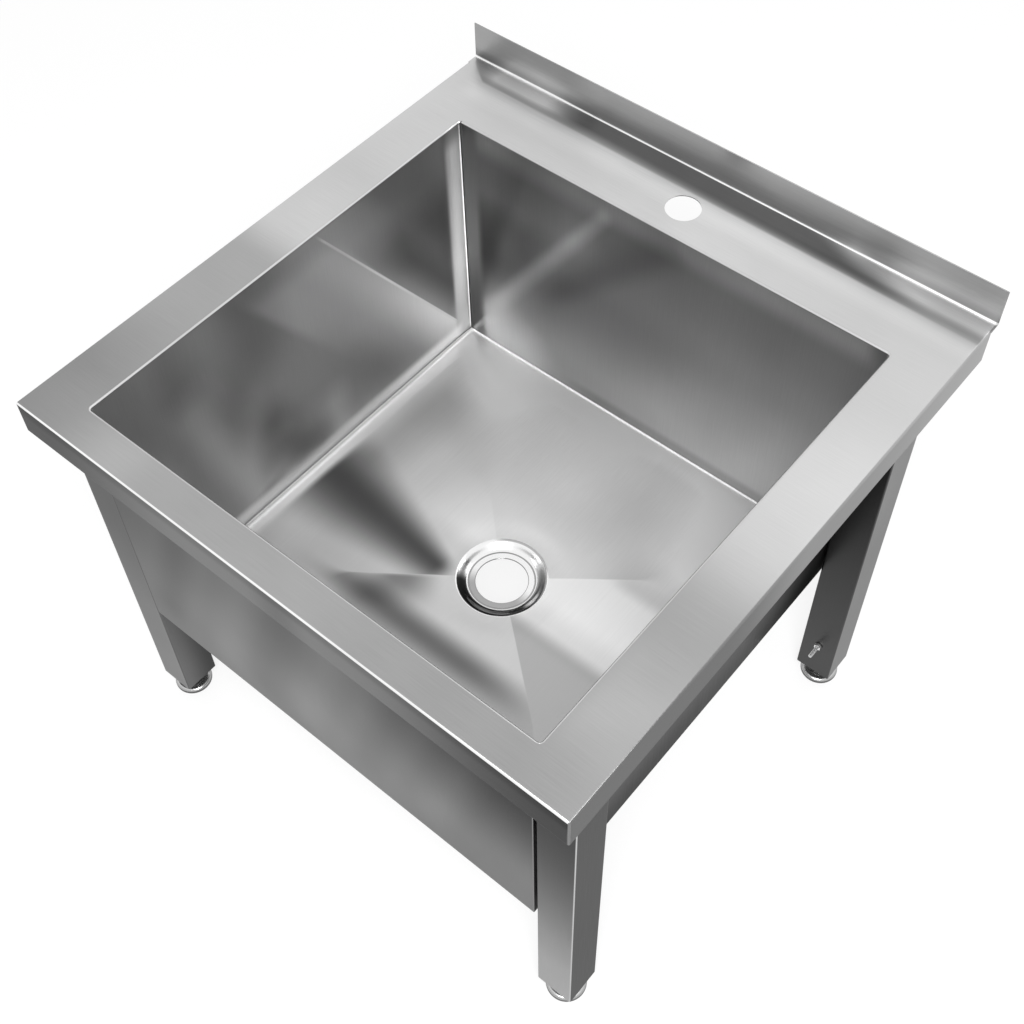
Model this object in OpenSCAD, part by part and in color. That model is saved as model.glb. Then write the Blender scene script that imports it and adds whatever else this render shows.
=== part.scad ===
// Low utility sink in folded stainless steel sheet, on four square legs with adjustable feet.
// X runs to the right, Y to the back, Z up. The origin is on the floor, under the deck's centre.

/* [Deck] */
// Width of the deck, left to right
deck_w = 600; // [450:10:1000]
// Depth of the deck, front to back
deck_d = 600; // [450:10:900]
// Height of the deck's top above the floor
deck_h = 500; // [440:5:900]
// Height of the folded front and side edges
apron_h = 38; // [25:1:60]
// Width of the sheet turned in under the front and side edges
apron_return = 11; // [5:0.5:12]
// Height of the upstand above the deck
upstand_h = 40; // [20:1:100]
// Thickness of every folded sheet
sheet = 1; // [0.8:0.1:1.5]
// Inside radius of the folds in the deck
fold_r = 1.5; // [1:0.5:3]
// Length of flat deck between the side edges' rear ends and the upstand
neck = 12; // [6:1:20]

/* [Bowl] */
// Depth of the bowl, down to the edge of its floor
bowl_h = 300; // [150:5:310]
// Width of the deck beside the bowl, on either side
side_ledge = 55; // [55:1:120]
// Width of the deck in front of the bowl
front_ledge = 35.5; // [34:0.5:80]
// Width of the deck behind the bowl
back_ledge = 89.5; // [85:0.5:150]
// Radius of the bowl's upright corners
corner_r = 3; // [2.5:0.5:12]
// Inside radius of the rolled rim where the bowl meets the deck
rim_fold_r = 1; // [0.5:0.5:3]
// How far the floor falls from its edge to the middle
floor_fall = 5; // [3:0.5:10]

/* [Drain] */
// Diameter of the recess at the floor
recess_d = 95; // [92:1:120]
// Diameter of the flat ring round the drain hole
seat_d = 70; // [62:1:74]
// Diameter of the drain hole
drain_d = 54; // [40:1:58]
// Depth of the recess
recess_h = 6; // [4:0.5:8]

/* [Tap hole] */
// Diameter of the tap hole
tap_d = 35; // [20:1:38]
// Distance of the tap hole from the deck's back edge
tap_y = 52.4; // [40:0.2:60]

/* [Legs] */
// Width of the square leg tube
leg_w = 40; // [30:1:40]
// Wall of the leg tube
leg_wall = 1.5; // [1:0.1:2]
// Inside corner radius of the leg tube
leg_bore_r = 0.5; // [0.2:0.1:2]
// Gap between the legs and the bowl's outside
leg_gap = 1; // [0.5:0.5:1.5]
// How far the back legs stand out behind the bowl
leg_back_out = 8.5; // [0:0.5:20]
// Height of the tube's open end above the floor
leg_clear = 23; // [20:0.5:35]

/* [Front panel] */
// Depth of the panel, from its face back to the bowl's outside
panel_d = 7.5; // [3:0.5:15]
// How far the panel hangs below the edge of the bowl's floor
panel_drop = 14; // [0:1:40]
// Gap between the panel and the left leg
panel_gap_left = 0.5; // [0.5:0.5:4]
// Gap between the panel and the right leg
panel_gap_right = 3; // [0.5:0.5:6]

/* [Channels] */
// Width of the stiffening channels
channel_w = 32; // [20:1:34]
// Height of the stiffening channels
channel_h = 18; // [10:1:24]

/* [Feet] */
// Diameter of the foot disc
disc_d = 40.5; // [30:0.5:50]
// Thickness of the foot disc
disc_h = 6; // [5:0.5:10]
// Radius of the disc's rounded upper edge
disc_edge_r = 1.5; // [0.5:0.5:2.5]
// Diameter of the foot screw
screw_d = 10; // [8:1:12]
// Length of the foot screw, from the disc's seat to its end
screw_len = 72; // [50:1:90]
// Width across the flats of the screw's hexagon
hex_w = 17; // [13:1:22]
// Height of the screw's hexagon
hex_h = 6; // [4:0.5:8]
// Height of the threaded plug
plug_h = 30; // [20:1:40]
// How far the plug sits inside the tube's end
plug_inset = 1; // [0.5:0.5:3]

/* [Bonding stud] */
// Diameter of the stud
stud_d = 4; // [4:1:8]
// Length of the stud, out of the leg
stud_len = 18; // [16:0.5:25]
// Height of the stud above the floor
stud_h = 75; // [50:1:120]
// Width of the groove round the stud, just outside the nut
groove_w = 0.6; // [0.4:0.1:1]
// Depth of the groove
groove_depth = 0.4; // [0.2:0.1:1]
// Width across the flats of the nut
nut_w = 7; // [7:1:13]
// Thickness of the nut
nut_h = 3.2; // [2.4:0.1:6]
// Diameter of the washer
washer_d = 9; // [9:0.5:16]
// Thickness of the washer
washer_h = 0.8; // [0.8:0.1:2]

/* [Hidden] */

// Smoothness of every round
$fn = 64;
// How far a cut runs past what it cuts
overrun = 1;
// Gap between pieces that are fixed side by side
fixed_gap = 0.1;
// Gap all round a shaft that turns in a hole
running_gap = 0.05;
// Gap all round a bolt in a plain hole
bolt_gap = 0.2;
// Steps along each of the two curves in the drain recess
recess_steps = 8;
// Where the screw's hexagon starts above the disc
hex_lift = 1;
// Depth of the disc's socket for the screw's lower end
socket_depth = 3;
// Height and width of the cone on the screw's upper end
screw_tip = 1;
// How far the plug's faces stand clear of the tube
plug_gap = 0.1;

deck_front = -deck_d / 2;
deck_back = deck_d / 2;
deck_side = deck_w / 2;
deck_under = deck_h - sheet;
fold_out_r = fold_r + sheet;
apron_low = deck_h - apron_h;
upstand_front = deck_back - sheet;
neck_front = upstand_front - neck;
// Where the deck's flat sheet ends and its fold up into the upstand starts
flat_back = deck_back - fold_out_r;

bowl_front = deck_front + front_ledge;
bowl_back = deck_back - back_ledge;
bowl_side = deck_side - side_ledge;
bowl_w = 2 * bowl_side;
bowl_d = bowl_back - bowl_front;
bowl_y = (bowl_front + bowl_back) / 2;
bowl_floor_z = deck_h - bowl_h;
rim_r = rim_fold_r + sheet;
bowl_rim_z = deck_h - rim_r;
bowl_outer_front = bowl_front - sheet;
bowl_outer_back = bowl_back + sheet;
bowl_outer_side = bowl_side + sheet;

recess_r = recess_d / 2;
seat_r = seat_d / 2;
drain_r = drain_d / 2;
// The floor's planes pass this height where the recess's edge crosses their middle
recess_top = bowl_floor_z - floor_fall * (1 - recess_r / bowl_side);
recess_seat_z = recess_top - recess_h;
recess_run = recess_r - seat_r;
// Two equal arcs that meet halfway, level at both ends
recess_arc_r = (recess_run * recess_run + recess_h * recess_h) / (4 * recess_h);
recess_arc_a = asin(recess_run / 2 / recess_arc_r);

// The front legs' faces are flush with the panel's
panel_face = bowl_outer_front - panel_d;
leg_x = bowl_outer_side + leg_gap + leg_w / 2;
leg_front_y = panel_face + leg_w / 2;
leg_back_y = bowl_outer_back + leg_back_out - leg_w / 2;
leg_inner_w = leg_w - 2 * leg_wall;
leg_r = leg_bore_r + leg_wall;

panel_left = -leg_x + leg_w / 2 + panel_gap_left;
panel_right = leg_x - leg_w / 2 - panel_gap_right;
panel_low = bowl_floor_z - panel_drop;

socket_z = disc_h - socket_depth;
hex_z = disc_h + hex_lift;
plug_z = leg_clear + plug_inset;
plug_w = leg_inner_w - 2 * plug_gap;

stud_face = leg_back_y - leg_w / 2;

// A rectangle whose corners are rounded, centred on the origin
module rounded_square(w, d, r) {
    square([w - 2 * r, d], center = true);
    square([w, d - 2 * r], center = true);
    for (x = [-1, 1], y = [-1, 1])
        translate([x * (w / 2 - r), y * (d / 2 - r)])
            circle(r);
}

// A quarter of a ring, from +X to +Y
module quarter_ring(r_in, r_out) {
    difference() {
        intersection() {
            circle(r_out);
            square([r_out, r_out]);
        }
        circle(r_in);
    }
}

// A quarter of a disc, from +X to +Y
module quarter_disc(r) {
    intersection() {
        circle(r);
        square([r, r]);
    }
}

// Turns a drawing in (depth, height) into a bar along X, centred
module along_x(length) {
    rotate([90, 0, 90])
        linear_extrude(length, center = true)
            children();
}

// Turns a drawing in (width, height) into a bar along Y, from y_start on
module along_y(y_start, length) {
    translate([0, y_start + length, 0])
        rotate([90, 0, 0])
            linear_extrude(length)
                children();
}

// A block with every fold rounded, inset all round from the deck's outer faces and cut off at back
module deck_block(inset, back) {
    r = fold_out_r - inset;
    w = deck_w - 2 * inset;
    d = deck_d - 2 * inset;
    h = apron_h - 2 * inset;
    intersection() {
        translate([0, 0, deck_h - apron_h / 2])
            along_x(deck_w)
                rounded_square(d, h, r);
        translate([0, 0, deck_h - apron_h / 2])
            along_y(deck_front, back - deck_front)
                rounded_square(w, h, r);
        translate([0, 0, apron_low])
            linear_extrude(apron_h)
                rounded_square(w, d, r);
    }
}

module deck() {
    color([0.74, 0.75, 0.76]) {
        difference() {
            deck_block(0, flat_back);
            deck_block(sheet, flat_back + overrun);
            // The lower edges are turned in by no more than the return
            translate([-deck_side + apron_return, deck_front + apron_return, apron_low - overrun])
                cube([deck_w - 2 * apron_return, deck_d, sheet + 2 * overrun]);
            // The side edges stop short of the upstand
            translate([-deck_side - overrun, neck_front, apron_low - overrun])
                cube([deck_w + 2 * overrun, deck_back - neck_front, apron_h + 2 * overrun]);
            translate([0, bowl_y, deck_under - overrun])
                linear_extrude(sheet + 2 * overrun)
                    rounded_square(bowl_w + 2 * rim_r, bowl_d + 2 * rim_r, corner_r + rim_r);
            translate([0, deck_back - tap_y, deck_under - overrun])
                cylinder(h = sheet + 2 * overrun, d = tap_d);
        }
        // The flat neck, the fold up into the upstand, and the upstand
        translate([-deck_side, neck_front, deck_under])
            cube([deck_w, flat_back - neck_front, sheet]);
        translate([0, flat_back, deck_h + fold_r])
            along_x(deck_w)
                mirror([0, 1])
                    quarter_ring(fold_r, fold_out_r);
        translate([-deck_side, upstand_front, deck_h + fold_r])
            cube([deck_w, sheet, upstand_h - fold_r]);
    }
}

// One side of the bowl's rolled rim, drawn outwards from the bowl's inner face
module rim_section() {
    translate([rim_r, 0])
        mirror([1, 0])
            quarter_ring(rim_r - sheet, rim_r);
}

// The straight and cornered stretches of the rim over one quarter of the bowl
module rim_quarter() {
    straight_x = bowl_w / 2 - corner_r;
    straight_y = bowl_d / 2 - corner_r;
    translate([straight_x, straight_y, 0])
        rotate_extrude(angle = 90)
            translate([corner_r, 0])
                rim_section();
    translate([bowl_w / 2, straight_y, 0])
        rotate([90, 0, 0])
            linear_extrude(straight_y)
                rim_section();
    translate([0, bowl_d / 2, 0])
        rotate([90, 0, 90])
            linear_extrude(straight_x)
                rim_section();
}

module bowl_walls() {
    wall_low = bowl_floor_z - sheet;
    color([0.6, 0.61, 0.62])
        translate([0, bowl_y, 0]) {
            difference() {
                translate([0, 0, wall_low])
                    linear_extrude(bowl_rim_z - wall_low)
                        rounded_square(bowl_w + 2 * sheet, bowl_d + 2 * sheet, corner_r + sheet);
                translate([0, 0, wall_low - overrun])
                    linear_extrude(bowl_rim_z - wall_low + 2 * overrun)
                        rounded_square(bowl_w, bowl_d, corner_r);
            }
            for (x = [0, 1], y = [0, 1])
                translate([0, 0, bowl_rim_z])
                    mirror([x, 0, 0])
                        mirror([0, y, 0])
                            rim_quarter();
        }
}

// One of the floor's four folded faces: a sloping sheet over its triangle of the bowl's plan
module floor_face(turn, reach, half) {
    low = bowl_floor_z - floor_fall;
    rotate([0, 0, turn])
        intersection() {
            rotate([90, 0, 0])
                linear_extrude(2 * half, center = true)
                    polygon([
                        [0, low], [reach, bowl_floor_z],
                        [reach, bowl_floor_z - sheet], [0, low - sheet]
                    ]);
            translate([0, 0, low - 2 * sheet])
                linear_extrude(floor_fall + 3 * sheet)
                    polygon([[0, 0], [reach, -half], [reach, half]]);
        }
}

module bowl_floor() {
    color([0.78, 0.79, 0.8])
        translate([0, bowl_y, 0])
            difference() {
                intersection() {
                    union() {
                        for (turn = [0, 180])
                            floor_face(turn, bowl_w / 2, bowl_d / 2);
                        for (turn = [90, 270])
                            floor_face(turn, bowl_d / 2, bowl_w / 2);
                    }
                    translate([0, 0, bowl_floor_z - floor_fall - 3 * sheet])
                        linear_extrude(floor_fall + 4 * sheet)
                            rounded_square(bowl_w, bowl_d, corner_r);
                }
                translate([0, 0, bowl_floor_z - floor_fall - 2 * sheet])
                    cylinder(h = floor_fall + 3 * sheet, r = recess_r);
            }
}

// A point on the recess's double curve. t runs from 0 at the outer edge to 2 at the seat,
// and depth is how far below the upper face the point lies, square to it.
function recess_point(t, depth) =
    t <= 1
    ? let (a = recess_arc_a * t, r = recess_arc_r - depth)
        [recess_r - fixed_gap - r * sin(a), recess_top - recess_arc_r + r * cos(a)]
    : let (a = recess_arc_a * (2 - t), r = recess_arc_r + depth)
        [seat_r - fixed_gap + r * sin(a), recess_seat_z + recess_arc_r - r * cos(a)];

module drain_recess() {
    upper = [for (i = [0 : 2 * recess_steps]) recess_point(i / recess_steps, 0)];
    lower = [for (i = [2 * recess_steps : -1 : 0]) recess_point(i / recess_steps, sheet)];
    seat = [[drain_r, recess_seat_z], [drain_r, recess_seat_z - sheet]];
    color([0.86, 0.87, 0.88])
        translate([0, bowl_y, 0])
            rotate_extrude()
                polygon(concat(upper, seat, lower));
}

module front_panel() {
    panel_w = panel_right - panel_left;
    inner_low = panel_low + sheet;
    color([0.62, 0.63, 0.64])
        difference() {
            translate([panel_left, panel_face, panel_low])
                cube([panel_w, panel_d, deck_under - panel_low]);
            translate([panel_left + sheet, panel_face + sheet, inner_low])
                cube([panel_w - 2 * sheet, panel_d - sheet + overrun, deck_under - inner_low + overrun]);
        }
}

module leg(side, y) {
    color([0.66, 0.67, 0.68])
        translate([side * leg_x, y, leg_clear])
            linear_extrude(deck_under - leg_clear)
                difference() {
                    rounded_square(leg_w, leg_w, leg_r);
                    rounded_square(leg_inner_w, leg_inner_w, leg_bore_r);
                }
}

// An upside-down channel between a front and a back leg, its back against the deck
module side_channel(side) {
    start = leg_front_y + leg_w / 2;
    length = leg_back_y - leg_front_y - leg_w;
    color([0.6, 0.61, 0.62])
        translate([side * leg_x, start, deck_under - channel_h])
            difference() {
                translate([-channel_w / 2, 0, 0])
                    cube([channel_w, length, channel_h]);
                translate([-channel_w / 2 + sheet, -overrun, -overrun])
                    cube([channel_w - 2 * sheet, length + 2 * overrun, channel_h - sheet + overrun]);
            }
}

module foot_plug(side, y) {
    color([0.08, 0.08, 0.09])
        translate([side * leg_x, y, plug_z])
            difference() {
                linear_extrude(plug_h)
                    rounded_square(plug_w, plug_w, leg_bore_r);
                translate([0, 0, -overrun])
                    cylinder(h = plug_h + 2 * overrun, r = screw_d / 2 + running_gap);
            }
}

module foot_screw(side, y) {
    shank = screw_len - screw_tip;
    color([0.55, 0.56, 0.57])
        translate([side * leg_x, y, 0]) {
            translate([0, 0, socket_z])
                cylinder(h = shank, d = screw_d);
            translate([0, 0, socket_z + shank])
                cylinder(h = screw_tip, r1 = screw_d / 2, r2 = screw_d / 2 - screw_tip);
            translate([0, 0, hex_z])
                cylinder(h = hex_h, d = hex_w / cos(30), $fn = 6);
        }
}

module foot_disc(side, y) {
    edge_in = disc_d / 2 - disc_edge_r;
    color([0.82, 0.83, 0.84])
        translate([side * leg_x, y, 0])
            difference() {
                rotate_extrude() {
                    square([edge_in, disc_h]);
                    square([disc_d / 2, disc_h - disc_edge_r]);
                    translate([edge_in, disc_h - disc_edge_r])
                        quarter_disc(disc_edge_r);
                }
                translate([0, 0, socket_z])
                    cylinder(h = socket_depth + overrun, r = screw_d / 2 + running_gap);
            }
}

// Lays a piece drawn upwards from the origin out of the leg's front face, start away from it
module on_stud(start) {
    translate([leg_x, stud_face - start, stud_h])
        rotate([90, 0, 0])
            children();
}

module bonding_stud() {
    groove_start = washer_h + nut_h;
    groove_end = groove_start + groove_w;
    color([0.72, 0.72, 0.7])
        on_stud(0) {
            cylinder(h = groove_start, d = stud_d);
            cylinder(h = stud_len, r = stud_d / 2 - groove_depth);
            translate([0, 0, groove_end])
                cylinder(h = stud_len - groove_end, d = stud_d);
        }
}

module bonding_washer() {
    color([0.76, 0.76, 0.74])
        on_stud(0)
            difference() {
                cylinder(h = washer_h, d = washer_d);
                translate([0, 0, -overrun])
                    cylinder(h = washer_h + 2 * overrun, r = stud_d / 2 + bolt_gap);
            }
}

module bonding_nut() {
    color([0.7, 0.7, 0.68])
        on_stud(washer_h)
            difference() {
                cylinder(h = nut_h, d = nut_w / cos(30), $fn = 6);
                translate([0, 0, -overrun])
                    cylinder(h = nut_h + 2 * overrun, r = stud_d / 2 + running_gap);
            }
}

deck();
bowl_walls();
bowl_floor();
drain_recess();
front_panel();
leg(-1, leg_front_y);  // leg_front_left
leg(1, leg_front_y);  // leg_front_right
leg(-1, leg_back_y);  // leg_back_left
leg(1, leg_back_y);  // leg_back_right
side_channel(-1);  // side_channel_left
side_channel(1);  // side_channel_right
foot_plug(-1, leg_front_y);  // foot_plug_front_left
foot_plug(1, leg_front_y);  // foot_plug_front_right
foot_plug(-1, leg_back_y);  // foot_plug_back_left
foot_plug(1, leg_back_y);  // foot_plug_back_right
foot_screw(-1, leg_front_y);  // foot_screw_front_left
foot_screw(1, leg_front_y);  // foot_screw_front_right
foot_screw(-1, leg_back_y);  // foot_screw_back_left
foot_screw(1, leg_back_y);  // foot_screw_back_right
foot_disc(-1, leg_front_y);  // foot_disc_front_left
foot_disc(1, leg_front_y);  // foot_disc_front_right
foot_disc(-1, leg_back_y);  // foot_disc_back_left
foot_disc(1, leg_back_y);  // foot_disc_back_right
bonding_stud();
bonding_washer();
bonding_nut();
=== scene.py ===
# A low utility sink in satin steel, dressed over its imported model. Metres, but mm in patterns and outlines.
import math

import bmesh
import bpy
from mathutils import Matrix, Vector


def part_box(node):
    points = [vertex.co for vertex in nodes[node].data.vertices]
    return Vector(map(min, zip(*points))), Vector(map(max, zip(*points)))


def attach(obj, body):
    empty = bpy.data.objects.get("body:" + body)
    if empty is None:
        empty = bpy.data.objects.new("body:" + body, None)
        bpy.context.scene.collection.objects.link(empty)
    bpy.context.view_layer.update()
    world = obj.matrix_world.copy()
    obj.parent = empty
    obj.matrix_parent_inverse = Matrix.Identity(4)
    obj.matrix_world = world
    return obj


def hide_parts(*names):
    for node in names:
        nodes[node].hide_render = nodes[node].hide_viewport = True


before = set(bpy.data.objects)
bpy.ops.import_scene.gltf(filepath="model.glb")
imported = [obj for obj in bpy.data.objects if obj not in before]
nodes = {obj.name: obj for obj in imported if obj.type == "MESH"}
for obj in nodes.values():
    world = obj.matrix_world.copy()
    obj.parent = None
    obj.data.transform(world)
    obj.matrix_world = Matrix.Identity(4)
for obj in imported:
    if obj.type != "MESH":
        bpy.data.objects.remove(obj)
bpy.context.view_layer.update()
mm = 0.001
fullTurn = 2 * math.pi
quarterTurn = math.pi / 2


# Shader arithmetic

class Wire:
    # A socket that can be added, multiplied and so on; without a socket it only makes nodes
    def __init__(self, tree, socket=None):
        self.tree = tree
        self.socket = socket

    def node(self, kind, settings, sockets, output=0):
        made = self.tree.nodes.new(kind)
        for name, value in settings.items():
            setattr(made, name, value)
        for name, value in sockets.items():
            if isinstance(value, Wire):
                value.feed(made.inputs[name])
            else:
                made.inputs[name].default_value = value
        return Wire(self.tree, made.outputs[output])

    def feed(self, socket):
        self.tree.links.new(self.socket, socket)

    def math(self, operation, *values):
        return self.node("ShaderNodeMath", {"operation": operation}, dict(enumerate(values)))

    def __add__(self, other):
        return self.math("ADD", self, other)

    __radd__ = __add__

    def __sub__(self, other):
        return self.math("SUBTRACT", self, other)

    def __rsub__(self, other):
        return self.math("SUBTRACT", other, self)

    def __mul__(self, other):
        return self.math("MULTIPLY", self, other)

    __rmul__ = __mul__

    def __truediv__(self, other):
        return self.math("DIVIDE", self, other)

    def __rtruediv__(self, other):
        return self.math("DIVIDE", other, self)

    def __pow__(self, other):
        return self.math("POWER", self, other)

    def dot(self, direction):
        settings = {"operation": "DOT_PRODUCT"}
        return self.node("ShaderNodeVectorMath", settings, {0: self, 1: direction}, "Value")

    def rise(self, low, high):
        # 0 at low, 1 at high, with soft ends
        settings = {"interpolation_type": "SMOOTHSTEP"}
        return self.node("ShaderNodeMapRange", settings, {"Value": self, "From Min": low, "From Max": high})

    def noise(self, stretch, detail):
        # self is a place; stretch is how often the noise changes along each axis, per metre
        spread = self.node("ShaderNodeMapping", {}, {"Vector": self, "Scale": stretch})
        sockets = {"Vector": spread, "Scale": 1.0, "Detail": detail, "Roughness": 0.5}
        return self.node("ShaderNodeTexNoise", {}, sockets)

    def emboss(self, depth, under=None):
        # The surface's tilt where self is its height; under is the tilt that it starts from
        sockets = {"Height": self, "Strength": 1.0, "Distance": depth}
        if under:
            sockets["Normal"] = under
        return self.node("ShaderNodeBump", {}, sockets)


def beside(flat, start, end):
    # How far a flat place lies to the left of a line, in mm
    run = Vector(end) - Vector(start)
    across = Vector((-run.y, run.x)) / run.length
    return flat.dot((across.x, across.y, 0)) - Vector(start).dot(across)


def streak(flat, start, end, left, right, fade):
    # A soft stroke on a flat place: 1 along the line, 0 at left and right mm beside it.
    # left and right are (at the start, at the end); fade is how far it takes to come and to go.
    run = Vector(end) - Vector(start)
    along = run / run.length
    forward = flat.dot((along.x, along.y, 0)) - Vector(start).dot(along)
    sideways = beside(flat, start, end)
    leftWidth, rightWidth = (
        forward * ((last - first) / run.length) + first for first, last in (left, right))
    mask = sideways.rise(leftWidth, 0.0) * sideways.rise(rightWidth * -1, 0.0)
    return mask * forward.rise(0.0, fade[0]) * forward.rise(run.length, run.length - fade[1])


def bump(value, centre, half):
    return value.rise(centre - half, centre) * value.rise(centre + half, centre)


def distance(flat, spot):
    settings = {"operation": "DISTANCE"}
    return flat.node("ShaderNodeVectorMath", settings, {0: flat, 1: (*spot, 0)}, "Value")


def glow(flat, spot, near, far):
    return distance(flat, spot).rise(far, near)


def over(under, top, mask):
    return under + (top - under) * mask


# Materials

def newMaterial(name):
    material = bpy.data.materials.new(name)
    material.use_nodes = True
    tree = material.node_tree
    return material, tree.nodes["Principled BSDF"], Wire(tree)


gamma = 2.2
slantGraze = 0.03      # what such steel reflects of itself at the slant of the first view

satin = {
    "roughness": 0.34,
    "cloud": 0.28,           # how much the tone drifts over a hand's breadth
    "grain": 0.18,           # how much the brushing shows in the tone
    "roughCloud": 0.1,       # how much they change the roughness
    "roughGrain": 0.12,
    "wave": 0.00025,         # how far the sheet is out of true
    "brush": 0.000004,       # how deep the brushing is
    "slant": 1.0,            # how much of its light the steel keeps when it is seen at a slant
    "clouds": 7.0,           # how many there are to a metre
    "waves": 5.0,
    "strokes": 1400.0,       # across the brushing
    "strokeEnds": 24.0,      # along it
    "darkest": 0.004,
    "palest": 0.98,
}


def steel(name, tone, along, relief=None, **changes):
    # tone(maker, x, y, z) gives the base colour over a place in mm.
    # relief(x, y, z) gives a height in mm that only tilts the surface.
    # along is the brushing's axis: 0, 1 or 2.
    look = {**satin, **changes}
    material, shader, maker = newMaterial(name)
    point = maker.node("ShaderNodeTexCoord", {}, {}, "Object")
    split = maker.node("ShaderNodeSeparateXYZ", {}, {0: point})
    x, y, z = (Wire(maker.tree, split.socket.node.outputs[i]) * (1 / mm) for i in range(3))
    fine = [look["strokes"]] * 3
    fine[along] = look["strokeEnds"]
    brushing = point.noise(fine, 2.0)
    cloud = point.noise([look["clouds"]] * 3, 2.0)
    drift = (cloud - 0.5) * look["cloud"] + (brushing - 0.5) * look["grain"] + 1.0
    shade = maker.math("MAXIMUM", tone(maker, x, y, z) * drift, look["darkest"])
    maker.math("MINIMUM", shade, look["palest"]).feed(shader.inputs["Base Color"])
    rough = (brushing - 0.5) * look["roughGrain"] + (cloud - 0.5) * look["roughCloud"] + look["roughness"]
    rough.feed(shader.inputs["Roughness"])
    bent = point.noise([look["waves"]] * 3, 1.0).emboss(look["wave"])
    if relief:
        bent = relief(x, y, z).emboss(mm, bent)
    brushing.emboss(look["brush"], bent).feed(shader.inputs["Normal"])
    shader.inputs["Metallic"].default_value = 1.0
    shader.inputs["Specular Tint"].default_value = (*(look["slant"],) * 3, 1.0)
    return material


def shown(wanted, light, graze=0.0):
    # The base colour that looks as bright as wanted. light is how bright a white face looks there.
    # graze is the share that any metal reflects at the angle from which the face is mostly seen.
    return ((wanted / light) ** gamma - graze) * (1 / (1 - graze))


def plainTone(value):
    return lambda maker, x, y, z: value ** gamma


def flatPlace(maker, u, v):
    return maker.node("ShaderNodeCombineXYZ", {}, {"X": u, "Y": v})


# Tones: painted reflections, highlights and shade, set to how bright each face looks from the first view, and
# how much light there is to answer it.
# The light entries say how bright a white face would look there; the base colours are used as they are.

deckLook = {
    "top": 0.805,
    "band": 0.73, "bandDark": 0.31,       # the upstand's reflection in the back ledge, and its middle
    "upstand": 0.56,
    # front and right are the aprons' painted reflections
    "front": 0.34, "right": 0.45,         # the aprons, at the left end and at the front end
    "hidden": 0.55,                       # what the first view doesn't show
    "frontLight": 1.03, "rightLight": 1.05, "hiddenLight": 1.04,
    # The upstand's and front fold carry painted highlights; the right fold and the front right corner carry
    # painted reflections
    "upstandFold": 0.97, "frontFold": 0.95, "rightFold": 0.19, "corner": 0.24,      # base colours
}


def deckTopTone(flat, x, y):
    # Painted reflections on the top: darker towards the front, lighter strips at the right and back left, and
    # the upstand's painted reflection in the back ledge
    fallen = over(y.rise(0.0, -55.0), y.rise(-20.0, -125.0), x.rise(-200.0, 200.0))
    top = deckLook["top"] - fallen * 0.14 + x.rise(215.0, 250.0) * bump(y, 50.0, 110.0) * 0.05
    top = top + bump(y, -205.0, 80.0) * x.rise(230.0, 260.0) * 0.06
    top = top - x.rise(-170.0, -290.0) * y.rise(-130.0, -240.0) * 0.09
    top = top + bump(x, -195.0, 60.0) * y.rise(-250.0, -275.0) * 0.03
    # The upstand's reflection, dark in the middle, ends at a slant on the left
    dark = x.rise(-205.0, -140.0) * (x + y * 2.5).rise(945.0, 845.0) * (y + x * 0.015).rise(266.0, 281.0)
    band = over(deckLook["band"] - bump(y, 275.0, 9.0) * 0.1, deckLook["bandDark"], dark)
    slanted = beside(flat, (-296.0, 292.0), (-263.0, 268.0)).rise(-1.5, 1.5)
    inside = (y + x * 0.008).rise(267.0, 271.0) * slanted * x.rise(-297.0, -294.0)
    top = over(top, band, inside)
    light = y.rise(282.0, 268.0) * 0.22 + y.rise(262.0, 235.0) * 0.1 + 0.7
    light = over(light, 1.02, x.rise(-255.0, -285.0))
    light = light * (x.rise(20.0, 230.0) * (y.rise(-150.0, 150.0) * 0.09 + 0.04) + 1.0)
    return shown(top, light)


def upstandTone(x, z):
    # Painted reflections on the upstand: darker in the middle, lighter at the ends
    dark = x.rise(-185.0, -135.0) * x.rise(190.0, 150.0)
    face = deckLook["upstand"] + bump(x, 215.0, 70.0) * 0.08 - dark * z.rise(528.0, 508.0) * 0.12
    face = face + bump(x, -212.0, 40.0) * z.rise(530.0, 515.0) * 0.05 + dark * z.rise(526.0, 535.0) * 0.02
    light = 0.86 - dark * (z.rise(535.0, 508.0) * 0.24 + 0.09) + (1 - dark) * z.rise(514.0, 503.0) * 0.15
    light = light + x.rise(150.0, 190.0) * z.rise(528.0, 508.0) * 0.08
    return shown(face, light, slantGraze)


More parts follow.
